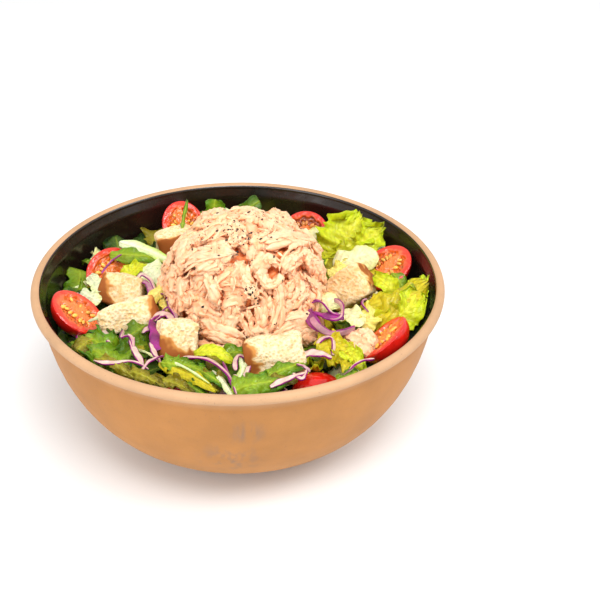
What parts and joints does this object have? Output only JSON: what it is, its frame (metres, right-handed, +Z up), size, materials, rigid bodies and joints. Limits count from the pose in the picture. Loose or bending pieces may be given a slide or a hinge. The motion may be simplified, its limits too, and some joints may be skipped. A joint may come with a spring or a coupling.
{
  "type": "chicken salad bowl",
  "caption": "Round stoneware bowl filled with leafy salad, a heap of shredded chicken, halved cherry tomatoes and bread croutons.",
  "frame": {"origin": "centre of the bowl's foot, on the surface it stands on", "axes": "+Z up out of the bowl's mouth, -Y towards the side with the two croutons nearest the rim"},
  "size_m": [0.2096, 0.2096, 0.1199],
  "materials": {
    "stoneware": "matt tan outside and over the lip, dark glossy glaze inside",
    "leaves": "moist lettuce and other leaves with shreds of red cabbage",
    "chicken": "moist shredded cooked chicken with ground pepper",
    "tomato": "glossy red skin and wet cut flesh",
    "bread": "dry open crumb with a browned crust"
  },
  "bodies": {
    "root": {"bowl": "stoneware", "salad_bed": "leaves", "chicken_heap": "chicken", "chicken_piece": "chicken", "tomato_half_1": "tomato", "tomato_half_2": "tomato", "tomato_half_3": "tomato", "tomato_half_4": "tomato", "tomato_half_5": "tomato", "tomato_half_6": "tomato", "tomato_half_7": "tomato", "tomato_half_8": "tomato", "crouton_1": "bread", "crouton_2": "bread", "crouton_3": "bread", "crouton_4": "bread", "crouton_5": "bread", "crouton_6": "bread"}
  },
  "joints": []
}
